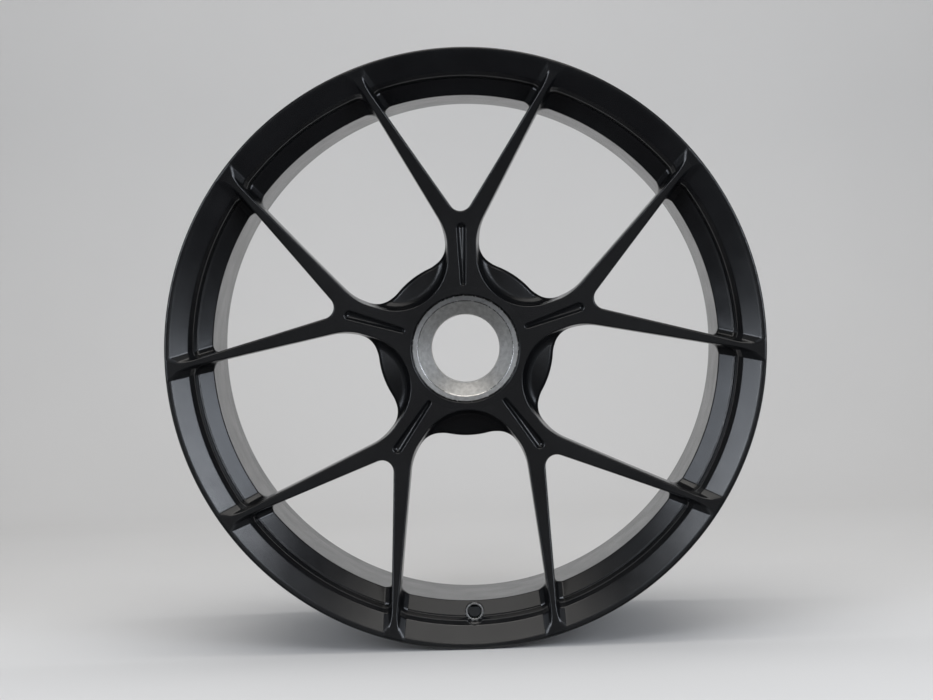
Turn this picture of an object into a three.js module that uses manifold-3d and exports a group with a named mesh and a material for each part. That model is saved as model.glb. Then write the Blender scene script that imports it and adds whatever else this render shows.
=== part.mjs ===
// Forged centre-lock racing wheel, 20 x 9 J, five Y spokes.
// Millimetres, +Z up. The wheel's axis is Y: the outboard face is at -Y and the inboard (car) side at +Y.
// The origin is the middle of the wheel, and the valve hole is straight down, at -Z.
// Depth d is measured from the outboard face of the rim, so y = d - RIM_WIDTH / 2.
import * as THREE from 'three';
import { mergeVertices } from 'three/addons/utils/BufferGeometryUtils.js';
import Module from 'manifold-3d';

// ---- driving dimensions ----
const RIM_WIDTH = 254; // overall, over both flanges
const FLANGE_RADIUS = 271.5; // tip of both rim flanges
const BEAD_SEAT_RADIUS = 254; // 20 inch bead seat
const FLANGE_THICK = 13; // outboard lip, front to tyre side
const WELL_RADIUS = 238.7; // tyre side of the drop centre
const BARREL_RADIUS = 232.7; // inside of the drop centre, at its narrow outboard end
const SPOKE_COUNT = 5;
const GAP = 0.3; // clearance between neighbouring nodes

const MOUNT_FACE_DEPTH = 74; // hub face that bolts up to the car
const HUB_FRONT_DEPTH = 28; // hub face around the insert
const PAD_RADIUS = 81.6; // hub pad at the back
const HUB_FRONT_RADIUS = 56; // hub face at the front
const PILOT_RADIUS = 42; // hub pilot bore at the back
const INSERT_RADIUS = 49.1; // centre seat insert
const INSERT_FLANGE_BACK = 52; // depth where the insert's flange stops
const INSERT_FRONT_DEPTH = 29.5;
const INSERT_BACK_DEPTH = 58;
const SEAT_RADIUS = 44.4; // wide end of the nut's conical seat
const BORE_RADIUS = 31.8; // narrow end of the seat, and the through bore

const PIN_CIRCLE_RADIUS = 65;
const BUSH_RADIUS = 11;
const PIN_BORE_RADIUS = 8.1;
const BUSH_LENGTH = 22;
const BUSH_FLOOR = 2; // closed end of each blind bush

const NECK_HALF = 16; // half width of a stem at its neck
const NECK_TOP = 110.8; // where the neck's side and an arm's outer edge would cross, unfilleted
const HUB_FILLET = 26; // neck into the hub pad
const ARM_FILLET = 46; // neck into an arm's outer edge
const NOTCH_RADIUS = 10.3; // bottom of the V between two arms
const NOTCH_BOTTOM = 126; // its distance from the axis
const ARM_OUTER_DEG = 29.2; // slope of an arm's outer edge from its Y's centre line
const ARM_INNER_DEG = 33.5; // slope of its inner edge
const ARM_ROOT = 122; // where an arm starts, along the arm
const ARM_TIP = 275; // beyond the rim, trimmed by it

const SLOT_START = 58; // groove along each stem, from the axis
const SLOT_END = 114.5;
const SLOT_HALF_IN = 2.3;
const SLOT_HALF_OUT = 4;
const SLOT_DEPTH = 5;
const SPOKE_SPACE = 80; // depth that holds every spoke, from the outboard face

const VALVE_CIRCLE_RADIUS = 242.2; // valve hole's distance from the axis
const VALVE_RADIUS = 5.8;
const VALVE_BOSS_RADIUS = 8.4; // boss round the hole, standing out of the sloping band
const VALVE_BOSS_DEPTH = 32; // its flat front face, where the valve's nut seats

// depths where the rim is divided into rings: behind the second band, behind the drop centre and before the
// inboard bead seat
const RING_DEPTHS = [0, 50, 122, 214, RIM_WIDTH];
const RING_NAMES = ['rim_outboard_flange', 'rim_well', 'rim_inner_barrel', 'rim_inboard_flange'];

const RIM_STEPS = 80; // facets round the rim: a multiple of 20, so box axes and spokes meet a vertex
const HUB_STEPS = 60;
const INSERT_STEPS = 60;
const BUSH_STEPS = 20;
const VALVE_STEPS = 24;

const wasm = await Module();
wasm.setup();

const turn = THREE.MathUtils.degToRad;
const depthToY = (d) => d - RIM_WIDTH / 2;

// ---- solids ----
function solid(geometry) {
  const bare = geometry.index ? geometry.toNonIndexed() : geometry.clone();
  for (const name of ['normal', 'uv']) bare.deleteAttribute(name);
  const merged = mergeVertices(bare, 1e-4);
  const mesh = new wasm.Mesh({
    numProp: 3,
    vertProperties: new Float32Array(merged.attributes.position.array),
    triVerts: new Uint32Array(merged.index.array),
  });
  return new wasm.Manifold(mesh);
}

function toGeometry(body) {
  const mesh = body.getMesh();
  const geometry = new THREE.BufferGeometry();
  geometry.setAttribute('position', new THREE.BufferAttribute(mesh.vertProperties, 3));
  geometry.setIndex(new THREE.BufferAttribute(mesh.triVerts, 1));
  return geometry;
}

// A ring turned about the wheel's axis from a closed section of [radius, depth] points,
// listed anticlockwise when radius is across and depth is up.
function turned(section, steps) {
  const points = section.map(([r, d]) => new THREE.Vector2(r, depthToY(d)));
  points.push(points[0].clone());
  return solid(new THREE.LatheGeometry(points, steps));
}

// A flat outline in the wheel's face (x across, y up) given thickness from depth d0 to depth d1.
function plate(shape, d0, d1, curveSegments = 6) {
  const geometry = new THREE.ExtrudeGeometry(shape, { depth: d1 - d0, bevelEnabled: false, curveSegments });
  geometry.rotateX(Math.PI / 2);
  geometry.translate(0, depthToY(d1), 0);
  return solid(geometry);
}

function disc(radius, x, z, d0, d1, steps) {
  const geometry = new THREE.CylinderGeometry(radius, radius, d1 - d0, steps);
  geometry.translate(x, depthToY((d0 + d1) / 2), z);
  return solid(geometry);
}

// The section moved outwards by a distance, corner by corner.
function grown(section, distance) {
  return section.map((point, i) => {
    const before = section[(i + section.length - 1) % section.length];
    const after = section[(i + 1) % section.length];
    const normal = (a, b) => {
      const length = Math.hypot(b[0] - a[0], b[1] - a[1]);
      return [(b[1] - a[1]) / length, (a[0] - b[0]) / length];
    };
    const [ax, ay] = normal(before, point);
    const [bx, by] = normal(point, after);
    const scale = distance / (1 + ax * bx + ay * by);
    return [point[0] + (ax + bx) * scale, point[1] + (ay + by) * scale];
  });
}

// ---- rim ----
const rimSection = [
  // inside, from the inboard flange to the outboard lip
  [267, RIM_WIDTH], [248.5, 246], [248.5, 200], [246, 172], [BARREL_RADIUS + 1.5, 124],
  [BARREL_RADIUS, 40.5], [245.2, 32], [247, 31.4], [247.6, 17], [251.6, 11.2], [267.8, 1.2], [268.6, 0.5],
  // outboard lip and its tyre side
  [269.8, 0], [FLANGE_RADIUS, 2.2], [FLANGE_RADIUS, 7], [269.5, 10.5], [265, FLANGE_THICK],
  [257, FLANGE_THICK + 2.2], [BEAD_SEAT_RADIUS, 20],
  // bead seat, hump, drop centre
  [252.9, 33], [254, 35], [252.6, 37.8], [WELL_RADIUS + 0.7, 49], [WELL_RADIUS, 52],
  [WELL_RADIUS, 121], [251.5, 175], [253, 219], [BEAD_SEAT_RADIUS, 234],
  // inboard flange
  [257, 239], [265, 241], [269.5, 243.5], [FLANGE_RADIUS, 247], [FLANGE_RADIUS, 252], [270, RIM_WIDTH],
];

// The front half of the wall round the valve hole: a boss may fill it without reaching the tyre side.
const valveZone = [[230, 28], [252, 28], [251.5, 36], [236, 49], [230, 49]];
const VALVE_CUT_FRONT = 20; // just in front of the wall that the hole goes through
const VALVE_CUT_BACK = 54;

function makeRim() {
  const valveDisc = (radius, d0, d1) => disc(radius, 0, -VALVE_CIRCLE_RADIUS, d0, d1, VALVE_STEPS);
  const bossBlank = valveDisc(VALVE_BOSS_RADIUS, VALVE_BOSS_DEPTH, VALVE_CUT_BACK);
  const boss = bossBlank.intersect(turned(valveZone, RIM_STEPS));
  const clearance = valveDisc(VALVE_BOSS_RADIUS, VALVE_CUT_FRONT, VALVE_BOSS_DEPTH);
  const rim = turned(rimSection, RIM_STEPS).add(boss).subtract(clearance);
  return rim.subtract(valveDisc(VALVE_RADIUS, VALVE_CUT_FRONT, VALVE_CUT_BACK));
}

// The slice of the rim between two depths, as a ring.
function rimRing(rim, d0, d1) {
  const [inside, outside] = [200, 300];
  const slice = [[inside, d1], [inside, d0], [outside, d0], [outside, d1]];
  return rim.intersect(turned(slice, RIM_STEPS));
}

// ---- hub ----
const hubSection = [
  [PILOT_RADIUS, MOUNT_FACE_DEPTH], [PILOT_RADIUS, INSERT_FLANGE_BACK],
  [INSERT_RADIUS + GAP, INSERT_FLANGE_BACK], [INSERT_RADIUS + GAP, HUB_FRONT_DEPTH + 1],
  [INSERT_RADIUS + GAP + 1, HUB_FRONT_DEPTH], [HUB_FRONT_RADIUS - 1, HUB_FRONT_DEPTH],
  [HUB_FRONT_RADIUS, HUB_FRONT_DEPTH + 1.5],
  [60, 40], [66, 50], [74, 57], [PAD_RADIUS - 1, 61],
  [PAD_RADIUS, 63], [PAD_RADIUS, MOUNT_FACE_DEPTH - 1], [PAD_RADIUS - 1, MOUNT_FACE_DEPTH],
];

const stemAngles = Array.from({ length: SPOKE_COUNT }, (_, i) => (i * 360) / SPOKE_COUNT);

// A point at a radius and a clockwise angle from straight up, seen from outboard.
function polar(radius, degrees) {
  return [radius * Math.sin(turn(degrees)), radius * Math.cos(turn(degrees))];
}

// The blind hole in the back of the hub for a drive pin bush, behind the spoke at this angle.
function bushHole(angle) {
  const [x, z] = polar(PIN_CIRCLE_RADIUS, angle);
  const floor = MOUNT_FACE_DEPTH - BUSH_LENGTH - GAP;
  return disc(BUSH_RADIUS + GAP, x, z, floor, MOUNT_FACE_DEPTH + 5, BUSH_STEPS);
}

function makeHubCentre() {
  const blank = turned(hubSection, HUB_STEPS);
  return stemAngles.reduce((hub, angle) => hub.subtract(bushHole(angle)), blank);
}

// ---- spokes ----
// The faces that all spokes are turned to: a front that dishes from the lip down to the hub, an end that runs
// through the thickness of the rim, and an arched back.
const spokeFront = [[48, HUB_FRONT_DEPTH], [57, HUB_FRONT_DEPTH], [85, 26.6], [125, 23.6], [165, 19.3],
  [205, 13.6], [240, 7.4], [264, 2.4]];
const spokeEnd = [[264, 7.5], [253, 14.5], [251, 31], [249.5, 35.5], [240, 44], [236, 54]];
const spokeBack = [[215, 49], [180, 47], [150, 49], [120, 55], [95, 62], [48, 62]];
const spokeBand = [...spokeFront, ...spokeEnd, ...spokeBack];

// Outline of one Y seen from outboard, x across and z up: the centres of its fillets and its edge lines.
const armSide = turn(ARM_OUTER_DEG);
const armAngle = (ARM_OUTER_DEG + ARM_INNER_DEG) / 2;
const hubFilletX = NECK_HALF + HUB_FILLET;
const hubFilletZ = Math.sqrt((PAD_RADIUS + HUB_FILLET) ** 2 - hubFilletX ** 2);
const hubFilletTurn = Math.atan2(hubFilletX, hubFilletZ);
const armFilletX = NECK_HALF + ARM_FILLET;
const armFilletZ = NECK_TOP - ARM_FILLET * Math.tan(armSide / 2);
const notchTurn = turn(ARM_INNER_DEG);
const notchZ = NOTCH_BOTTOM + NOTCH_RADIUS;
const notchApex = [0, notchZ - NOTCH_RADIUS / Math.sin(notchTurn)];
const outerStart = [
  armFilletX - ARM_FILLET * Math.cos(armSide), armFilletZ + ARM_FILLET * Math.sin(armSide),
];

// The point on an edge line that lies a given distance along the arm.
function alongArm([x, z], edgeDegrees, distance) {
  const across = Math.sin(turn(armAngle));
  const up = Math.cos(turn(armAngle));
  const dx = Math.sin(turn(edgeDegrees));
  const dz = Math.cos(turn(edgeDegrees));
  const t = (distance - (across * x + up * z)) / (across * dx + up * dz);
  return [x + t * dx, z + t * dz];
}

const outerEdge = (distance) => alongArm(outerStart, ARM_OUTER_DEG, distance);
const innerEdge = (distance) => alongArm(notchApex, ARM_INNER_DEG, distance);

function stemShape() {
  const shape = new THREE.Shape();
  const [rootX, rootZ] = polar(HUB_FRONT_RADIUS, THREE.MathUtils.radToDeg(hubFilletTurn));
  const [padX, padZ] = polar(PAD_RADIUS, THREE.MathUtils.radToDeg(hubFilletTurn));
  const [innerX, innerZ] = innerEdge(ARM_ROOT);
  const [outerX, outerZ] = outerEdge(ARM_ROOT);
  shape.moveTo(-rootX, rootZ);
  shape.lineTo(rootX, rootZ);
  shape.lineTo(padX, padZ);
  shape.absarc(hubFilletX, hubFilletZ, HUB_FILLET, -Math.PI / 2 - hubFilletTurn, -Math.PI, true);
  shape.absarc(armFilletX, armFilletZ, ARM_FILLET, Math.PI, Math.PI - armSide, true);
  shape.lineTo(outerX, outerZ);
  shape.lineTo(innerX, innerZ);
  shape.absarc(0, notchZ, NOTCH_RADIUS, -notchTurn, -Math.PI + notchTurn, true);
  shape.lineTo(-innerX, innerZ);
  shape.lineTo(-outerX, outerZ);
  shape.absarc(-armFilletX, armFilletZ, ARM_FILLET, armSide, 0, true);
  shape.absarc(-hubFilletX, hubFilletZ, HUB_FILLET, 0, -Math.PI / 2 + hubFilletTurn, true);
  return shape;
}

// One arm from its stem to the rim: side is -1 for the arm on the left of its Y and 1 for the right one.
function armShape(side) {
  const start = ARM_ROOT + GAP;
  const corners = [innerEdge(start), outerEdge(start), outerEdge(ARM_TIP), innerEdge(ARM_TIP)];
  return new THREE.Shape(corners.map(([x, z]) => new THREE.Vector2(side * x, z)));
}

function slotShape() {
  const shape = new THREE.Shape();
  shape.absarc(0, SLOT_END - SLOT_HALF_OUT, SLOT_HALF_OUT, 0, Math.PI, false);
  shape.absarc(0, SLOT_START + SLOT_HALF_IN, SLOT_HALF_IN, Math.PI, 2 * Math.PI, false);
  return shape;
}

const band = turned(spokeBand, RIM_STEPS);
const hubClear = turned(grown(hubSection, GAP), HUB_STEPS);
const rimClear = turned(grown(rimSection, GAP), RIM_STEPS);
const shifted = (line, depth) => line.map(([r, d]) => [r, d + depth]);
const slotFloor = shifted(spokeFront, SLOT_DEPTH).reverse();
const slotBand = turned([...shifted(spokeFront, -SLOT_DEPTH), ...slotFloor], RIM_STEPS);

function makeStem() {
  const blank = plate(stemShape(), 0, SPOKE_SPACE).intersect(band);
  const slot = plate(slotShape(), 0, SPOKE_SPACE).intersect(slotBand);
  return blank.subtract(hubClear).subtract(bushHole(0)).subtract(slot);
}

function makeArm(side) {
  return plate(armShape(side), 0, SPOKE_SPACE).intersect(band).subtract(rimClear);
}

// ---- centre seat insert and drive pin bushes ----
const insertSection = [
  [BORE_RADIUS, INSERT_BACK_DEPTH], [BORE_RADIUS, 44.5], [SEAT_RADIUS, 31.5], [SEAT_RADIUS + 0.6, 30.9],
  [INSERT_RADIUS - 1.2, INSERT_FRONT_DEPTH], [INSERT_RADIUS, INSERT_FRONT_DEPTH + 1.2],
  [INSERT_RADIUS, INSERT_FLANGE_BACK - GAP], [PILOT_RADIUS - GAP, INSERT_FLANGE_BACK - GAP],
  [PILOT_RADIUS - GAP, INSERT_BACK_DEPTH],
];

function makeBush() {
  const back = MOUNT_FACE_DEPTH;
  const front = back - BUSH_LENGTH;
  const section = [
    [PIN_BORE_RADIUS, back - 1], [PIN_BORE_RADIUS, front + BUSH_FLOOR], [0, front + BUSH_FLOOR], [0, front],
    [BUSH_RADIUS - 1, front], [BUSH_RADIUS, front + 1], [BUSH_RADIUS, back], [PIN_BORE_RADIUS + 1, back],
  ];
  return turned(section, BUSH_STEPS);
}

// ---- finishes ----
const satinBlack = new THREE.MeshStandardMaterial({ color: 0x0c0d0f, roughness: 0.42, metalness: 0.2 });
const bareMetal = new THREE.MeshStandardMaterial({ color: 0xa9aaa8, roughness: 0.38, metalness: 1 });
const steel = new THREE.MeshStandardMaterial({ color: 0x8d8f93, roughness: 0.3, metalness: 1 });

// ---- assembly ----
const wheel = new THREE.Group();

function add(name, body, material, parent = wheel) {
  const mesh = new THREE.Mesh(toGeometry(body), material);
  mesh.name = name;
  parent.add(mesh);
  return mesh;
}

const rim = makeRim();
RING_NAMES.forEach((name, i) => {
  const [front, back] = [RING_DEPTHS[i], RING_DEPTHS[i + 1]];
  const lastRing = back === RIM_WIDTH;
  add(name, rimRing(rim, front, lastRing ? back : back - GAP), satinBlack);
});
add('hub_centre', makeHubCentre(), satinBlack);
add('centre_seat_insert', turned(insertSection, INSERT_STEPS), bareMetal);

const stem = makeStem();
const arms = { a: makeArm(-1), b: makeArm(1) };
const bush = makeBush();

stemAngles.forEach((angle, i) => {
  const spoke = new THREE.Group();
  spoke.rotation.y = turn(angle);
  wheel.add(spoke);
  add(`spoke_stem_${i + 1}`, stem, satinBlack, spoke);
  add(`spoke_arm_${i + 1}a`, arms.a, satinBlack, spoke);
  add(`spoke_arm_${i + 1}b`, arms.b, satinBlack, spoke);
  const bushMesh = add(`drive_pin_bush_${i + 1}`, bush, steel, spoke);
  bushMesh.position.z = PIN_CIRCLE_RADIUS;
});

export default wheel;
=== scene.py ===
"""Forged centre-lock racing wheel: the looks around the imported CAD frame.

The forging is one smooth surface. Its shape is a signed distance in millimetres, made from the turned
section of the rim, the outline of one Y spoke and the arched section of the spokes. It is sampled on a
cylindrical grid over half of one spoke's sector, turned into a mesh, mirrored round the wheel, and thinned.
The insert and the five bushes are separate pieces.
"""
import math

import bpy
import numpy as np
from mathutils import Matrix, Vector


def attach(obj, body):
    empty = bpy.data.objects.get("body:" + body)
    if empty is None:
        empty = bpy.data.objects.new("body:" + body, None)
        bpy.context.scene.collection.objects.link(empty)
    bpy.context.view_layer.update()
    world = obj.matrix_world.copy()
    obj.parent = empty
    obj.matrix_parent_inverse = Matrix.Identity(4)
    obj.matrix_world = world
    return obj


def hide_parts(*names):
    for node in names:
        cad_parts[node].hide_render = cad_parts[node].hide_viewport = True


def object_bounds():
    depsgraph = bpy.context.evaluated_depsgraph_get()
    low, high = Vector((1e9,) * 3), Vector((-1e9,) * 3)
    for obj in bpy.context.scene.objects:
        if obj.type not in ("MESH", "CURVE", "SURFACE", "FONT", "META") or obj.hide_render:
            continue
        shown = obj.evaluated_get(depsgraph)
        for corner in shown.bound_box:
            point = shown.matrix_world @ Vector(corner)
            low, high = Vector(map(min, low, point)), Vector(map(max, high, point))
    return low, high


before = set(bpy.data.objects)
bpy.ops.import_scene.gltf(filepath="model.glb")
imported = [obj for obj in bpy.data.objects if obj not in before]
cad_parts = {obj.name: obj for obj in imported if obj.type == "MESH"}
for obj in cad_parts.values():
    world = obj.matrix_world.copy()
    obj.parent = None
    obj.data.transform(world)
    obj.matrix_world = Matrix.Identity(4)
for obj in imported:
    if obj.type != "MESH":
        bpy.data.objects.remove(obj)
cad_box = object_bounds()

MM = 0.001
RIM_WIDTH = (cad_box[1].y - cad_box[0].y) / MM
FLANGE_RADIUS = (cad_box[1].x - cad_box[0].x) / 2 / MM
FLOOR_Z = cad_box[0].z
SPOKES = 5
SECTOR = math.pi / SPOKES  # half of one spoke's share of the wheel
FINE = 0.7  # grid step in mm


def deg(angle):
    return math.radians(angle)


# ---------------------------------------------------------------- outlines and distances (mm)
def arc(centre, radius, start, end, step=6):
    """Points along an arc, angles in degrees anticlockwise from the first axis."""
    count = max(2, math.ceil(abs(end - start) / step))
    angles = np.radians(np.linspace(start, end, count + 1))
    return [(centre[0] + radius * math.cos(a), centre[1] + radius * math.sin(a)) for a in angles]


def rounded(corners):
    """A closed outline from corners (u, v, fillet radius)."""
    points = []
    for i, (u, v, radius) in enumerate(corners):
        if not radius:
            points.append((u, v))
            continue
        here = np.array((u, v), float)
        before = np.array(corners[i - 1][:2], float) - here
        after = np.array(corners[(i + 1) % len(corners)][:2], float) - here
        before /= np.linalg.norm(before)
        after /= np.linalg.norm(after)
        half = math.acos(np.clip(before @ after, -1, 1)) / 2
        middle = (before + after) / np.linalg.norm(before + after)
        centre = here + middle * radius / math.sin(half)
        first = here + before * radius / math.tan(half) - centre
        last = here + after * radius / math.tan(half) - centre
        start = math.degrees(math.atan2(first[1], first[0]))
        sweep = math.degrees(math.atan2(last[1], last[0])) - start
        sweep = (sweep + 180) % 360 - 180
        points += arc(centre, radius, start, start + sweep, np.clip(14 / radius**0.6, 1, 12))
    return points


def outline_distance(outline, u, v):
    """Signed distance to a closed outline, negative inside it."""
    nearest = np.full(u.shape, 1e9, np.float32)
    inside = np.zeros(u.shape, bool)
    for (au, av), (bu, bv) in zip(outline, outline[1:] + outline[:1]):
        eu, ev = bu - au, bv - av
        length2 = eu * eu + ev * ev
        if length2 < 1e-12:
            continue
        pu, pv = u - au, v - av
        t = np.clip((pu * eu + pv * ev) / length2, 0, 1)
        nearest = np.minimum(nearest, (pu - t * eu) ** 2 + (pv - t * ev) ** 2)
        if ev:
            inside ^= ((av > v) != (bv > v)) & (pu < eu * pv / ev)
    return np.where(inside, -1, 1) * np.sqrt(nearest)


class Outline:
    """A closed outline's signed distance, tabled once and read back by interpolation."""

    def __init__(self, outline, u_range, v_range, step):
        self.low = (u_range[0], v_range[0])
        self.step = step
        u = np.arange(u_range[0], u_range[1] + step, step, dtype=np.float32)
        v = np.arange(v_range[0], v_range[1] + step, step, dtype=np.float32)
        self.table = outline_distance(outline, *np.meshgrid(u, v, indexing="ij")).astype(np.float32)

    def __call__(self, u, v):
        rows, columns = self.table.shape
        gu = (u - self.low[0]) / self.step
        gv = (v - self.low[1]) / self.step
        cu = np.clip(gu, 0, rows - 1.001)
        cv = np.clip(gv, 0, columns - 1.001)
        i, j = cu.astype(np.int32), cv.astype(np.int32)
        fu, fv = cu - i, cv - j
        near = self.table[i, j] * (1 - fv) + self.table[i, j + 1] * fv
        far = self.table[i + 1, j] * (1 - fv) + self.table[i + 1, j + 1] * fv
        return near * (1 - fu) + far * fu + np.hypot(gu - cu, gv - cv) * self.step


def cut_both(a, b, radius):
    """Where both solids are, with the edge between them rounded."""
    out = np.hypot(np.maximum(a + radius, 0), np.maximum(b + radius, 0)) - radius
    return out + np.minimum(np.maximum(a, b) + radius, 0)


def join(a, b, radius):
    """Either solid, with a fillet between them."""
    return -cut_both(-a, -b, radius)


def smooth_step(low, high, value):
    t = np.clip((value - low) / (high - low), 0, 1)
    return t * t * (3 - 2 * t)


# ---------------------------------------------------------------- the wheel's shape (mm)
# r is the distance from the axis and d the depth behind the outboard face.
HUB_FRONT = 28
MOUNT_FACE = 74
LIP_INNER = 267.8
LIP_DEPTH = 0.4
PAD_RADIUS = 81.6
POCKET_RADIUS = 49.4
POCKET_FLOOR = 52
PILOT_RADIUS = 42
BARREL_RADIUS = 232.7


def front_depth(r):
    """The turned front face of hub and spokes, dished from the lip to the hub."""
    s = np.clip((r - 57) / (LIP_INNER - 57), 0, 1)
    return HUB_FRONT * (1 - s) + LIP_DEPTH * s + 17 * s * (1 - s)


def envelope_outline():
    """The forging's outer section, with every hollow between hub and rim filled in."""
    lip = [
        (LIP_INNER, LIP_DEPTH - 0.2, 0), (268.5, 0, 0.6), (FLANGE_RADIUS, 0, 2.0),
        (FLANGE_RADIUS, 9.5, 4.5), (266, 13, 3), (254, 14, 6.5),
    ]
    tyre_side = [
        (254, 20, 3), (252.9, 33, 1.2), (254, 35, 1.2), (252.6, 37.8, 3), (238.7, 50, 6), (238.7, 121, 25),
        (251.5, 175, 30), (253, 219, 8), (254, 234, 3),
    ]
    inboard = [
        (254, 240, 6.5), (266, 241, 3), (FLANGE_RADIUS, 244.5, 4.5), (FLANGE_RADIUS, RIM_WIDTH, 1.6),
        (266.5, RIM_WIDTH, 1.5), (248, 246, 4), (233, 243, 0),
    ]
    bore = [
        (100, 200, 0), (90, 120, 0), (PAD_RADIUS + 18, 100, 0), (PAD_RADIUS + 3, MOUNT_FACE, 0),
        (PILOT_RADIUS, MOUNT_FACE, 0.8), (PILOT_RADIUS, POCKET_FLOOR, 0.4),
        (POCKET_RADIUS, POCKET_FLOOR, 1), (POCKET_RADIUS, HUB_FRONT, 0.9),
    ]
    face = [(r, float(front_depth(r)), 0) for r in np.linspace(60, 262, 24)]
    return rounded([*bore, (57, HUB_FRONT, 0), *face, *lip, *tyre_side, *inboard])


def rim_inside_outline():
    """The rim's inner surface, filled outwards past the tyre side."""
    first_band = [(268.3, 0.2, 0), (266.9, 0.82, 0), (251.6, 10.1, 0), (250.9, 10.8, 0.3)]
    groove = [(247.6, 16, 3), (247, 31.2, 1)]
    second_band = [
        (246.2, 31.4, 0), (245, 31.9, 0.2), (BARREL_RADIUS + 0.6, 39.5, 0), (BARREL_RADIUS, 40.5, 0.5),
    ]
    barrel = [
        (BARREL_RADIUS + 1.5, 124, 25), (246, 172, 40), (248.5, 200, 20), (248.5, 262, 0), (300, 262, 0),
    ]
    return rounded([(300, -14, 0), *first_band, *groove, *second_band, *barrel])


def spoke_back_outline():
    """Everything in front of the spokes' arched back and the hub's mounting face."""
    arch = [
        (PAD_RADIUS + 0.4, MOUNT_FACE - 6, 0), (PAD_RADIUS + 2.5, 64, 3), (97, 61, 8), (120, 54, 40),
        (150, 48.5, 60), (180, 46.5, 80), (212, 48, 60), (240, 54, 0), (300, 66, 0),
    ]
    return rounded([(0, -60, 0), (0, MOUNT_FACE, 0), (PAD_RADIUS, MOUNT_FACE, 1.2), *arch, (300, -60, 0)])


# One Y spoke from the front, standing on its hub: x across, z outwards.
NECK_HALF = 16
NECK_TOP = 110.8
ARM_OUTER = 29.2
ARM_INNER = 33.5
NOTCH_RADIUS = 10.3
NOTCH_BOTTOM = 126
HUB_FILLET = 26
ARM_FILLET = 46
FACE_INSET = 0.9  # how far an arm's front edge stands inside its silhouette
NECK_INSET = 2.6
HUB_WALL_LEAN = 0.02  # how much a spoke's walls lean out with depth
ARM_WALL_LEAN = 0.3
HUB_EDGE = 3.6  # rounding of the outer edge, at the hub and along the arms
ARM_EDGE = 1.0
HUB_END = 88  # between these radii the hub's values change to the arms'
ARM_START = 122
BACK_EDGE = 2.2
PAD_DEPTH = 60  # the floor of the pocket between two spokes, at the pad's edge
PAD_CONE = 0.16
PAD_FILLET = 9
RAMP_WIDTH = 7.2
RAMP_SLOPE = 0.42
RAMP_END = 50
RAMP_END_EDGE = 2
RAMP_CREASE = 0.3
SPOKE_FILLET = 4  # where a spoke meets the rim
TURNED_EDGE = 0.9  # where the turned surfaces meet the milled ones
MILLED_EDGE = 0.6  # round the slots and the bushes' bores
SCALLOP_RADIUS = 48
SCALLOP_CENTRE = 104.5
BEYOND = 300


def mirrored(half):
    return half + [(-x, z) for x, z in reversed(half)]


def arm_edges(inset, neck_half, fillet):
    """From the neck up one side of an arm and down its other side to the notch."""
    side = deg(ARM_OUTER)
    slope = math.tan(side)
    corner = NECK_TOP + (neck_half - NECK_HALF + inset / math.cos(side)) / slope
    centre = (neck_half + fillet, corner - fillet * math.tan(side / 2))
    points = arc(centre, fillet, 180, 180 - ARM_OUTER, 3)
    reach = (BEYOND - points[-1][1]) / math.cos(side)
    points.append((points[-1][0] + reach * math.sin(side), BEYOND))
    notch_z = NOTCH_BOTTOM + NOTCH_RADIUS
    notch = NOTCH_RADIUS + inset
    apex = notch_z - notch / math.sin(deg(ARM_INNER))
    points.append(((BEYOND - apex) * math.tan(deg(ARM_INNER)), BEYOND))
    return points + arc((0, notch_z), notch, -ARM_INNER, -90, 4)


def silhouette_outline():
    """The spoke and its share of the hub pad at their widest."""
    fillet_x = NECK_HALF + HUB_FILLET
    fillet_z = math.sqrt((PAD_RADIUS + HUB_FILLET) ** 2 - fillet_x**2)
    turn = math.degrees(math.atan2(fillet_z, fillet_x))
    pad = arc((0, 0), PAD_RADIUS, -10, turn, 3)
    window = arc((fillet_x, fillet_z), HUB_FILLET, turn - 180, -180, 4)
    return mirrored([(0, -30), *pad, *window, *arm_edges(0, NECK_HALF, ARM_FILLET)])


def face_outline():
    """The edge of the spoke's front face, scalloped between two spokes."""
    centre = (SCALLOP_CENTRE * math.sin(SECTOR), SCALLOP_CENTRE * math.cos(SECTOR))
    scallop = arc(centre, SCALLOP_RADIUS, -86, -180, 3)
    neck = NECK_HALF - NECK_INSET
    return mirrored([(0, -30), (30, 0), (45, 20), *scallop, *arm_edges(FACE_INSET, neck, ARM_FILLET)])


SLOT_INNER = 60.3
SLOT_OUTER = 110.5
SLOT_HALF_INNER = 2.4
SLOT_HALF_OUTER = 4.2
SLOT_DEPTH = 4
SLOT_WALL = 0.45
SLOT_FLOOR_EDGE = 2.0

VALVE_CIRCLE = 242.2
VALVE_RADIUS = 5.8
VALVE_BOSS = 8.4
VALVE_FACE = 32
VALVE_CHAMFER = 0.9
VALVE_CLEARANCE = 0.6
VALVE_HOLE_DEPTHS = (20, 56)
BAND_POINT = (245.2, 31.7)  # a point (radius, depth) on the second band, and the band's slope
BAND_NORMAL = (0.558, 0.83)
BOSS_REACH = 4  # how far the boss goes in behind that band

PIN_CIRCLE = 65
BUSH_RADIUS = 11
BUSH_LENGTH = 22
BUSH_GAP = 0.2
BUSH_FLOOR_GAP = 0.3

table_step = 0.35
envelope = Outline(envelope_outline(), (20, 276), (-4, 258), table_step)
rim_inside = Outline(rim_inside_outline(), (224, 276), (-4, 258), table_step)
spoke_back = Outline(spoke_back_outline(), (20, 276), (-4, 90), table_step)
silhouette = Outline(silhouette_outline(), (-4, 170), (10, 276), 0.5)
face = Outline(face_outline(), (-4, 170), (10, 276), 0.5)


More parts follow.
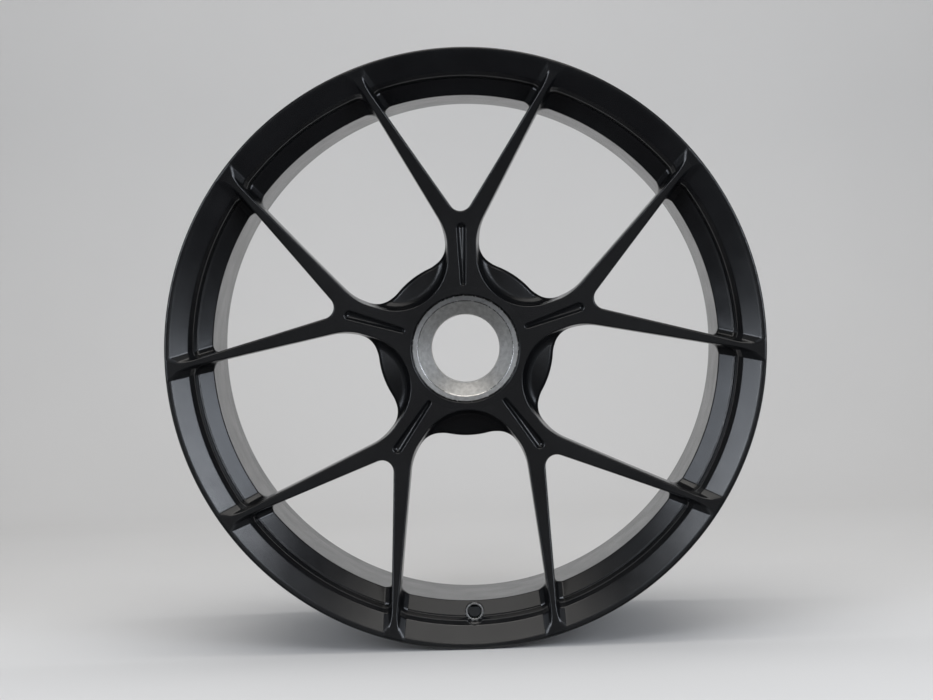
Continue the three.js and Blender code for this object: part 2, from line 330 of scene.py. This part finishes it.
def spider(x, z, r, d):
    """Hub, stems and arms, still without the rim."""
    below = d - front_depth(r)
    outwards = smooth_step(HUB_END, ARM_START, r)
    lean = HUB_WALL_LEAN + (ARM_WALL_LEAN - HUB_WALL_LEAN) * outwards
    wall = (face(x, z) - lean * below) / np.hypot(1, lean)
    hub_pad = PAD_DEPTH - d + PAD_CONE * (r - PAD_RADIUS)
    edge = HUB_EDGE + (ARM_EDGE - HUB_EDGE) * outwards
    side = cut_both(join(wall, hub_pad, PAD_FILLET), silhouette(x, z), edge)
    return cut_both(side, spoke_back(r, d), BACK_EDGE)


def rim_beside_spokes(x, z, r, d):
    """The rim's inner surface, ramping up towards each spoke at the ends of the open bands."""
    floor = rim_inside(r, d)
    ramp = (floor - RAMP_SLOPE * (RAMP_WIDTH - silhouette(x, z))) / math.hypot(1, RAMP_SLOPE)
    return join(floor, cut_both(ramp, d - RAMP_END, RAMP_END_EDGE), RAMP_CREASE)


def slot(x, z, r, d):
    """The tapered groove along a stem's front face."""
    t = np.clip((z - SLOT_INNER) / (SLOT_OUTER - SLOT_INNER), 0, 1)
    across = np.hypot(x, z - SLOT_INNER - t * (SLOT_OUTER - SLOT_INNER))
    below = d - front_depth(r)
    wall = across - SLOT_HALF_INNER - t * (SLOT_HALF_OUTER - SLOT_HALF_INNER) + SLOT_WALL * below
    return cut_both(wall / math.hypot(1, SLOT_WALL), below - SLOT_DEPTH, SLOT_FLOOR_EDGE)


def valve_parts(r, angle, d):
    """The valve's boss and hole, on the plane between two spokes."""
    out = np.hypot(r * np.sin(SECTOR - angle), r * np.cos(SECTOR - angle) - VALVE_CIRCLE)
    behind_band = BAND_NORMAL[0] * (r - BAND_POINT[0]) + BAND_NORMAL[1] * (d - BAND_POINT[1]) - BOSS_REACH
    boss = cut_both(out - VALVE_BOSS, np.maximum(VALVE_FACE - d, behind_band), 0.7)
    clearance = np.maximum(out - VALVE_BOSS - VALVE_CLEARANCE, d - VALVE_FACE)
    chamfer = out - VALVE_RADIUS - np.maximum(VALVE_FACE + VALVE_CHAMFER - d, 0)
    start, end = VALVE_HOLE_DEPTHS
    hole = np.maximum(chamfer, np.maximum(start - d, d - end))
    return boss, clearance, hole


def forging(r, angle, d, valve):
    """Signed distance to the whole forging. angle is measured from the middle of a spoke."""
    angle = SECTOR - np.abs(SECTOR - np.abs(angle))
    x, z = r * np.sin(angle), r * np.cos(angle)
    body = join(rim_beside_spokes(x, z, r, d), spider(x, z, r, d), SPOKE_FILLET)
    body = cut_both(body, envelope(r, d), TURNED_EDGE)
    body = cut_both(body, -slot(x, z, r, d), MILLED_EDGE)
    bush = np.hypot(x, z - PIN_CIRCLE) - BUSH_RADIUS - BUSH_GAP
    body = cut_both(body, -np.maximum(bush, MOUNT_FACE - BUSH_LENGTH - BUSH_FLOOR_GAP - d), MILLED_EDGE)
    if valve:
        boss, clearance, hole = valve_parts(r, angle, d)
        body = np.minimum(body, boss)
        body = np.maximum(body, -clearance)
        body = cut_both(body, -hole, 0.4)
    return body


# ---------------------------------------------------------------- meshing
def spread(*runs):
    """Grid positions from runs of (start, end, step), joined end to end."""
    parts = [np.linspace(a, b, max(1, round((b - a) / step)), endpoint=False) for a, b, step in runs]
    return np.concatenate([*parts, [runs[-1][1]]])


RADII = spread((38, 276, FINE))
DEPTHS = spread((-1.5, 78, FINE), (78, 232, 5 * FINE), (232, RIM_WIDTH + 1.5, FINE))
SLICES = round(SECTOR * LIP_INNER / (1.25 * FINE))
SLICE = SECTOR / SLICES
VALVE_MARGIN = 14  # the valve's parts lie within this distance of its axis
ANGLES = (np.arange(SLICES + 2) - 0.5) * SLICE  # one slice is centred on each mirror plane


def sample(valve):
    """The forging's distance on the grid of radius, angle and depth."""
    field = np.empty((len(RADII), len(ANGLES), len(DEPTHS)), np.float32)
    r, d = np.meshgrid(RADII, DEPTHS, indexing="ij")
    for j, angle in enumerate(ANGLES):
        field[:, j] = forging(r, np.full(r.shape, angle), d, valve)
    return field


def cell_corners(values):
    """For each cell, how many of its eight corners are true."""
    count = values.astype(np.int8)
    for axis in range(3):
        low = [slice(None)] * 3
        high = [slice(None)] * 3
        low[axis] = slice(None, -1)
        high[axis] = slice(1, None)
        count = count[tuple(low)] + count[tuple(high)]
    return count


def surface_net(field):
    """Points (radius, angle, depth) and quads of the surface where the field is zero."""
    inside = field < 0
    count = cell_corners(inside)
    active = (count > 0) & (count < 8)
    cells = np.argwhere(active)
    number = np.full(active.shape, -1, np.int32)
    number[active] = np.arange(len(cells))

    total = np.zeros((len(cells), 3))
    crossings = np.zeros(len(cells))
    for axis in range(3):
        along = np.eye(3, dtype=int)[axis]
        side_a, side_b = np.eye(3, dtype=int)[[(axis + 1) % 3, (axis + 2) % 3]]
        for corner in (0 * along, side_a, side_b, side_a + side_b):
            start = cells + corner
            end = start + along
            near = field[tuple(start.T)]
            far = field[tuple(end.T)]
            hit = (near < 0) != (far < 0)
            t = near[hit] / (near[hit] - far[hit])
            total[hit] += start[hit] + t[:, None] * along
            crossings[hit] += 1
    where = total / crossings[:, None]
    grids = (RADII, ANGLES, DEPTHS)
    points = np.stack([np.interp(where[:, k], np.arange(len(grids[k])), grids[k]) for k in range(3)], 1)

    quads = []
    for axis in range(3):
        low = [slice(1, -1)] * 3
        high = [slice(1, -1)] * 3
        low[axis] = slice(None, -1)
        high[axis] = slice(1, None)
        leaving = inside[tuple(low)] & ~inside[tuple(high)]
        entering = ~inside[tuple(low)] & inside[tuple(high)]
        a, b = (axis + 1) % 3, (axis + 2) % 3
        for edges, order in ((leaving, 1), (entering, -1)):
            at = np.argwhere(edges) + 1
            at[:, axis] -= 1
            ring = []
            for da, db in ((-1, -1), (0, -1), (0, 0), (-1, 0))[::order]:
                cell = at.copy()
                cell[:, a] += da
                cell[:, b] += db
                ring.append(number[tuple(cell.T)])
            quads.append(np.stack(ring, 1))
    return points, np.concatenate(quads)


def slope(points, valve, h=0.12):
    """Distance and its gradient (outwards, round and along the axis) at points (radius, angle, depth)."""
    r, angle, d = points.T

    def value(dr, around, dd):
        return forging(r + dr, angle + around / r, d + dd, valve)

    gradient = [
        value(h, 0, 0) - value(-h, 0, 0),
        value(0, h, 0) - value(0, -h, 0),
        value(0, 0, h) - value(0, 0, -h),
    ]
    return value(0, 0, 0), np.stack(gradient, 1) / (2 * h)


def settle(points, valve, rounds=3):
    """Moves points onto the surface, and those of the first and last slice onto their mirror planes."""
    first = points[:, 1] < SLICE / 2
    last = points[:, 1] > SECTOR - SLICE / 2
    for _ in range(rounds):
        points[first, 1] = 0
        points[last, 1] = SECTOR
        distance, gradient = slope(points, valve)
        move = gradient * (distance / np.maximum((gradient**2).sum(1), 0.2))[:, None]
        move = np.clip(move, -FINE / 2, FINE / 2)
        points[:, 0] -= move[:, 0]
        points[:, 1] -= move[:, 1] / points[:, 0]
        points[:, 2] -= move[:, 2]
    points[first, 1] = 0
    points[last, 1] = SECTOR
    return points


def half_sector(valve, field):
    points, quads = surface_net(field)
    return settle(points, valve), quads


def whole_wheel():
    """All ten half sectors: points in metres, and quads. The valve hole is where two meet at the bottom."""
    field = sample(False)
    plain = half_sector(False, field)
    rows = RADII > VALVE_CIRCLE - VALVE_MARGIN
    columns = ANGLES > SECTOR - 16 / VALVE_CIRCLE
    layers = DEPTHS < 60
    r, angle, d = np.meshgrid(RADII[rows], ANGLES[columns], DEPTHS[layers], indexing="ij")
    field[np.ix_(rows, columns, layers)] = forging(r, angle, d, True)
    drilled = half_sector(True, field)

    points, quads, count = [], [], 0
    for spoke in range(SPOKES):
        for mirror in (1, -1):
            valve = spoke == 2 and mirror == 1 or spoke == 3 and mirror == -1
            part, faces = drilled if valve else plain
            angle = mirror * part[:, 1] + spoke * 2 * SECTOR
            radius, depth = part[:, 0], part[:, 2]
            x, z = radius * np.sin(angle), radius * np.cos(angle)
            points.append(np.stack([x, depth - RIM_WIDTH / 2, z], 1))
            quads.append(faces[:, ::mirror] + count)
            count += len(part)
    points = np.concatenate(points)
    quads = np.concatenate(quads)
    keys = np.round(points / 0.004).astype(np.int64)
    _, first, same = np.unique(keys, axis=0, return_index=True, return_inverse=True)
    return points[first] * MM, same.reshape(-1)[quads]


def new_object(name, points, faces):
    """An object from an array of points in metres and an array of faces with one number of corners."""
    mesh = bpy.data.meshes.new(name)
    mesh.vertices.add(len(points))
    mesh.vertices.foreach_set("co", points.astype(np.float32).ravel())
    mesh.loops.add(faces.size)
    mesh.loops.foreach_set("vertex_index", faces.astype(np.int32).ravel())
    mesh.polygons.add(len(faces))
    mesh.polygons.foreach_set("loop_start", np.arange(len(faces), dtype=np.int32) * faces.shape[1])
    mesh.update(calc_edges=True)
    mesh.validate()
    mesh.shade_smooth()
    obj = bpy.data.objects.new(name, mesh)
    bpy.context.collection.objects.link(obj)
    return obj


def true_normals(mesh, pull=0.7):
    """The shape's own normal at each triangle's corners, read a little inside it (pull in mm)."""
    points = np.empty(len(mesh.vertices) * 3)
    mesh.vertices.foreach_get("co", points)
    points = points.reshape(-1, 3) / MM
    corners = np.empty(len(mesh.loops), np.int32)
    mesh.loops.foreach_get("vertex_index", corners)
    triangles = points[corners].reshape(-1, 3, 3)
    inwards = triangles.mean(1, keepdims=True) - triangles
    length = np.linalg.norm(inwards, axis=2, keepdims=True)
    places = (triangles + inwards * np.minimum(0.35, pull / np.maximum(length, 1e-6))).reshape(-1, 3)
    x, y, z = places.T
    round_wheel = np.arctan2(x, z)
    from_spoke = (round_wheel + SECTOR) % (2 * SECTOR) - SECTOR
    cylindrical = np.stack([np.hypot(x, z), from_spoke, y + RIM_WIDTH / 2], 1)
    by_valve = (z < -VALVE_CIRCLE + VALVE_MARGIN) & (np.abs(x) < VALVE_MARGIN)
    normals = np.empty_like(places)
    for valve, chosen in ((False, ~by_valve), (True, by_valve)):
        _, gradient = slope(cylindrical[chosen], valve)
        sine, cosine = np.sin(round_wheel[chosen]), np.cos(round_wheel[chosen])
        normals[chosen, 0] = gradient[:, 0] * sine + gradient[:, 1] * cosine
        normals[chosen, 1] = gradient[:, 2]
        normals[chosen, 2] = gradient[:, 0] * cosine - gradient[:, 1] * sine
    return normals / np.maximum(np.linalg.norm(normals, axis=1, keepdims=True), 1e-9)


def halved(points, quads):
    """Each quad as two triangles, split along its shorter diagonal."""
    corner = points[quads]
    straight = np.linalg.norm(corner[:, 0] - corner[:, 2], axis=1)
    crossed = np.linalg.norm(corner[:, 1] - corner[:, 3], axis=1)
    turned = np.where((straight <= crossed)[:, None], quads, np.roll(quads, -1, axis=1))
    return turned[:, [0, 1, 2, 0, 2, 3]].reshape(-1, 3)


WHEEL_TRIANGLES = 190_000


def forged_wheel():
    points, quads = whole_wheel()
    wheel = new_object("forged_wheel", points, halved(points, quads))
    thin = wheel.modifiers.new("thin", "DECIMATE")
    thin.ratio = min(1, WHEEL_TRIANGLES / (2 * len(quads)))
    mesh = bpy.data.meshes.new_from_object(wheel.evaluated_get(bpy.context.evaluated_depsgraph_get()))
    wheel.modifiers.clear()
    wheel.data = mesh
    mesh.normals_split_custom_set(true_normals(mesh))
    return wheel


def lathe(name, outline, steps, centre=(0, 0)):
    """A turned ring from its outline (radius, depth), round an axis along Y at centre (x, z), in mm."""
    radius, depth = np.array(outline, float).T
    turns = np.linspace(0, 2 * math.pi, steps, endpoint=False)
    x = centre[0] + np.outer(np.sin(turns), radius)
    y = np.tile(depth - RIM_WIDTH / 2, (steps, 1))
    z = centre[1] + np.outer(np.cos(turns), radius)
    points = np.stack([x, y, z], 2).reshape(-1, 3) * MM
    count = len(outline)
    i, j = np.meshgrid(np.arange(steps), np.arange(count), indexing="ij")
    here, there = i * count, (i + 1) % steps * count
    faces = np.stack([here + j, there + j, there + (j + 1) % count, here + (j + 1) % count], 2)
    obj = new_object(name, points, faces.reshape(-1, 4))
    obj.modifiers.new("weld", "WELD").merge_threshold = 0.00001
    obj.modifiers.new("normals", "WEIGHTED_NORMAL").keep_sharp = True
    return obj


# ---------------------------------------------------------------- materials
def new_material(name):
    material = bpy.data.materials.new(name)
    material.use_nodes = True
    tree = material.node_tree
    shader = tree.nodes["Principled BSDF"]
    coordinates = tree.nodes.new("ShaderNodeTexCoord").outputs["Object"]
    return material, tree, shader, coordinates


def noise(tree, coordinates, size, detail=3.0, rough=0.5, stretch=(1, 1, 1)):
    """Noise with features of about this size in metres; the socket runs from 0 to 1."""
    mapping = tree.nodes.new("ShaderNodeMapping")
    mapping.inputs["Scale"].default_value = stretch
    node = tree.nodes.new("ShaderNodeTexNoise")
    node.inputs["Scale"].default_value = 1 / size
    node.inputs["Detail"].default_value = detail
    node.inputs["Roughness"].default_value = rough
    tree.links.new(coordinates, mapping.inputs["Vector"])
    tree.links.new(mapping.outputs["Vector"], node.inputs["Vector"])
    return node.outputs["Fac"]


def remap(tree, value, low, high, out_low, out_high):
    node = tree.nodes.new("ShaderNodeMapRange")
    for name, number in zip(("From Min", "From Max", "To Min", "To Max"), (low, high, out_low, out_high)):
        node.inputs[name].default_value = number
    tree.links.new(value, node.inputs["Value"])
    return node.outputs["Result"]


def mix_colour(tree, factor, first, second):
    node = tree.nodes.new("ShaderNodeMix")
    node.data_type = "RGBA"
    node.inputs["A"].default_value = (*first, 1)
    node.inputs["B"].default_value = (*second, 1)
    tree.links.new(factor, node.inputs["Factor"])
    return node.outputs["Result"]


def bump(tree, shader, height, distance, strength=1.0, below=None):
    node = tree.nodes.new("ShaderNodeBump")
    node.inputs["Strength"].default_value = strength
    node.inputs["Distance"].default_value = distance
    tree.links.new(height, node.inputs["Height"])
    if below:
        tree.links.new(below, node.inputs["Normal"])
    tree.links.new(node.outputs["Normal"], shader.inputs["Normal"])
    return node.outputs["Normal"]


def satin_black():
    """Black powder coat: even and fine grained, a little glossier in broad patches."""
    material, tree, shader, place = new_material("satin_black_coat")
    patches = noise(tree, place, 0.06, 4)
    grain = noise(tree, place, 0.0007, 2)
    blend = remap(tree, patches, 0.35, 0.65, 0, 1)
    colour = mix_colour(tree, blend, (0.004, 0.0042, 0.005), (0.0065, 0.0068, 0.0076))
    tree.links.new(colour, shader.inputs["Base Color"])
    rough = remap(tree, noise(tree, place, 0.025, 5), 0.3, 0.7, 0.21, 0.27)
    tree.links.new(rough, shader.inputs["Roughness"])
    bump(tree, shader, grain, 0.00002)
    shader.inputs["IOR"].default_value = 1.55
    return material


def machined_aluminium(name, low_rough, high_rough, shade=1.0):
    """Bare turned aluminium, mottled, with fine rings from the tool; a low shade makes it darker, which
    paints shade into the colour.
    """
    material, tree, shader, place = new_material(name)
    shader.inputs["Metallic"].default_value = 1
    mottle = noise(tree, place, 0.004, 4, 0.6)
    dark = [shade * part for part in (0.6, 0.59, 0.57)]
    light = [shade * part for part in (0.78, 0.77, 0.75)]
    colour = mix_colour(tree, remap(tree, mottle, 0.35, 0.65, 0, 1), dark, light)
    tree.links.new(colour, shader.inputs["Base Color"])
    rough = remap(tree, noise(tree, place, 0.002, 3), 0.3, 0.7, low_rough, high_rough)
    tree.links.new(rough, shader.inputs["Roughness"])
    rings = tree.nodes.new("ShaderNodeTexWave")
    rings.wave_type = "RINGS"
    rings.rings_direction = "Y"
    rings.inputs["Scale"].default_value = 420
    rings.inputs["Distortion"].default_value = 0.6
    tree.links.new(place, rings.inputs["Vector"])
    lines = bump(tree, shader, rings.outputs["Fac"], 0.00001)
    bump(tree, shader, mottle, 0.00006, below=lines)
    return material


def bush_steel():
    """Ground steel of the drive pin bushes, darker than the insert."""
    material, tree, shader, place = new_material("bush_steel")
    shader.inputs["Metallic"].default_value = 1
    streaks = noise(tree, place, 0.0015, 4, 0.6, (1, 0.15, 1))
    colour = mix_colour(tree, streaks, (0.3, 0.305, 0.31), (0.48, 0.48, 0.485))
    tree.links.new(colour, shader.inputs["Base Color"])
    tree.links.new(remap(tree, streaks, 0.3, 0.7, 0.22, 0.36), shader.inputs["Roughness"])
    bump(tree, shader, streaks, 0.00002)
    return material


# ---------------------------------------------------------------- pieces
def insert_outline():
    """The nut seat insert: a conical seat inside a bevelled rim, with a short bore behind it."""
    front = [(43.4, 32.4, 0.3), (44.1, 31.9, 0.3), (48.1, 31.1, 0.3), (48.8, 31.3, 0.3), (49.1, 31.9, 0.3)]
    back = [(49.1, 51.7, 0.4), (41.7, 51.7, 0.3), (41.7, 58, 0.8), (31.2, 58, 0.5)]
    return rounded([*back, (31.8, 44.5, 0.5), *front])


def bush_outline():
    """A drive pin bush with a blind, chamfered hole that opens inboard."""
    floor = [(0, 52, 0), (11, 52, 1)]
    mouth = [(11, MOUNT_FACE, 0.3), (9.3, MOUNT_FACE, 0.3), (8.1, MOUNT_FACE - 1.2, 0.3)]
    return rounded([*floor, *mouth, (8.1, 54, 0.8), (0, 54, 0)])


wheel = forged_wheel()
bare_metal = machined_aluminium("seat_aluminium", 0.46, 0.58)
bright_metal = machined_aluminium("bevel_aluminium", 0.2, 0.3)
# The flat rings get a darker copy of the aluminium: painted shade, since these front-facing flats look
# darker than the seat and bevels in the light.
shaded_ring_metal = machined_aluminium("shaded_ring_aluminium", 0.42, 0.52, 0.55)
wheel.data.materials.append(satin_black())
wheel.data.materials.append(shaded_ring_metal)
# The valve boss's flat front ring takes the darker aluminium with its painted shade.
for face_of_wheel in wheel.data.polygons:
    x, y, z = face_of_wheel.center / MM
    from_valve = math.hypot(x, z + VALVE_CIRCLE)
    on_ring = VALVE_RADIUS + 0.7 < from_valve < VALVE_BOSS - 0.3
    at_face = abs(y + RIM_WIDTH / 2 - VALVE_FACE) < 0.25
    face_of_wheel.material_index = int(on_ring and at_face)
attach(wheel, "root")
RIM_NODES = ("rim_outboard_flange", "rim_well", "rim_inner_barrel", "rim_inboard_flange")
STEM_NODES = [f"spoke_stem_{n}" for n in range(1, SPOKES + 1)]
ARM_NODES = [f"spoke_arm_{n}{side}" for n in range(1, SPOKES + 1) for side in "ab"]
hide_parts(*RIM_NODES, "hub_centre", *STEM_NODES, *ARM_NODES)

SEAT_RADIUS = 43.2  # the conical seat's outer edge
RING_RADII = (44.3, 47.9)  # the flat ring outside it, between two bevels
insert = lathe("nut_seat_insert", insert_outline(), 240)
insert.data.materials.append(bare_metal)
insert.data.materials.append(bright_metal)
insert.data.materials.append(shaded_ring_metal)
for side_of_insert in insert.data.polygons:
    x, y, z = side_of_insert.center / MM
    from_axis = math.hypot(x, z)
    if from_axis > SEAT_RADIUS:
        # the flat ring between the bevels takes the darker aluminium with its painted shade
        side_of_insert.material_index = 2 if RING_RADII[0] < from_axis < RING_RADII[1] else 1
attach(insert, "root")
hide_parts("centre_seat_insert")

steel = bush_steel()
for n in range(SPOKES):
    turn = 2 * SECTOR * n
    middle = (PIN_CIRCLE * math.sin(turn), PIN_CIRCLE * math.cos(turn))
    bush = lathe(f"pin_bush_{n + 1}", bush_outline(), 64, middle)
    bush.data.materials.append(steel)
    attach(bush, "root")
    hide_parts(f"drive_pin_bush_{n + 1}")


# ---------------------------------------------------------------- stage, lights and camera (m)
def aim(obj, target, roll=0.0):
    facing = Vector(target) - obj.location
    obj.matrix_world = (
        Matrix.Translation(obj.location) @ facing.to_track_quat("-Z", "Y").to_matrix().to_4x4()
        @ Matrix.Rotation(roll, 4, "Z")
    )


def softbox(name, place, target, size, radiance, colour=(1, 1, 1)):
    data = bpy.data.lights.new(name, "AREA")
    data.shape = "RECTANGLE"
    data.size, data.size_y = size
    data.energy = radiance * size[0] * size[1] * math.pi
    data.color = colour
    light = bpy.data.objects.new(name, data)
    light.location = place
    light.visible_camera = False
    bpy.context.collection.objects.link(light)
    aim(light, target)
    return light


def stage_material(name, low, high, roughness):
    material, tree, shader, place = new_material(name)
    shader.inputs["Roughness"].default_value = roughness
    tree.links.new(mix_colour(tree, noise(tree, place, 0.4, 2), low, high), shader.inputs["Base Color"])
    return material


def sweep():
    """A pale floor that curves up into a wall behind the wheel."""
    back, height, bend, half = 1.7, 3.2, 0.7, 3.5
    profile = [(-3.2, FLOOR_Z)]
    profile += [(y, FLOOR_Z + bend + z) for y, z in arc((back - bend, 0), bend, -90, 0, 5)]
    profile.append((back, height))
    points = np.array([(x, y, z) for y, z in profile for x in (-half, half)])
    faces = np.array([(2 * i, 2 * i + 1, 2 * i + 3, 2 * i + 2) for i in range(len(profile) - 1)])
    obj = new_object("floor_sweep", points, faces)
    obj.data.materials.append(stage_material("pale_floor", (0.66, 0.66, 0.66), (0.7, 0.7, 0.7), 0.7))


BLACK_CARD = 0.012
GREY_CARD = 0.2


def reflection_cards():
    """Cards that only glossy reflections see: black ones round the front, and grey behind the camera.

    The camera, diffuse light and shadows ignore them, so the floor stays pale under a black card.
    """
    left, right, front, near, back, top = -1.9, 1.9, -2.7, -0.13, 0.05, 2.3
    low = FLOOR_Z + 0.003
    black = [
        ((left, front, low), (right, front, low), (right, near, low), (left, near, low)),
        ((left, front, top), (right, front, top), (right, back, top), (left, back, top)),
        ((right, front, low), (right, back, low), (right, back, top), (right, front, top)),
        ((left, front, low), (left, back, low), (left, back, top), (left, front, top)),
    ]
    grey = [((left, front, 0.05), (right, front, 0.05), (right, front, top), (left, front, top))]
    for name, cards, shade in (("black_cards", black, BLACK_CARD), ("grey_card", grey, GREY_CARD)):
        points = np.array([corner for card in cards for corner in card])
        obj = new_object(name, points, np.arange(len(points)).reshape(-1, 4))
        obj.data.materials.append(stage_material(name, (shade,) * 3, (shade * 1.2,) * 3, 0.9))
        obj.visible_camera = obj.visible_diffuse = obj.visible_shadow = obj.visible_transmission = False


sweep()
reflection_cards()

COOL = (0.82, 0.89, 1.0)
NEUTRAL = (0.95, 0.97, 1.0)
WARM = (1.0, 0.98, 0.95)
for name, way, radiance in (("left_softbox", -1, 3.0), ("right_softbox", 1, 3.8)):
    softbox(name, (way * 1.02, -1.15, 0.34), (0, 0, 0), (0.85, 0.8), radiance, COOL)
for name, way in (("left_strip", -1), ("right_strip", 1)):
    softbox(name, (way * 0.84, -1.13, 0.34), (0, -0.1, 0.2), (0.07, 0.7), 9, NEUTRAL)
for name, y in (("near_strip", -0.43), ("far_strip", -1.7)):
    softbox(name, (0, y, 1.47), (0, y, 0), (1.4, 0.16), 2.2, (1.0, 0.96, 0.9))
softbox("top_softbox", (0, -0.75, 1.5), (0, -0.75, 0), (1.4, 2.3), 1.2, WARM)
softbox("wall_light", (0, 0.1, 2.6), (0, 1.5, 0.5), (3.0, 1.2), 2.6, (1.0, 0.98, 0.96))

world = bpy.data.worlds.new("room")
world.use_nodes = True
world.node_tree.nodes["Background"].inputs["Color"].default_value = (0.25, 0.25, 0.25, 1)
bpy.context.scene.world = world

CAMERA_DISTANCE = 1.65
camera_data = bpy.data.cameras.new("camera")
camera_data.sensor_width = 36
camera_data.lens = 70.8
camera = bpy.data.objects.new("camera", camera_data)
camera.location = (0.019, -RIM_WIDTH / 2 * MM - CAMERA_DISTANCE, 0.028)
bpy.context.collection.objects.link(camera)
aim(camera, (0.0013, -RIM_WIDTH / 2 * MM, -0.0009), deg(-2.0))
bpy.context.scene.camera = camera
bpy.context.scene.view_settings.view_transform = "Standard"
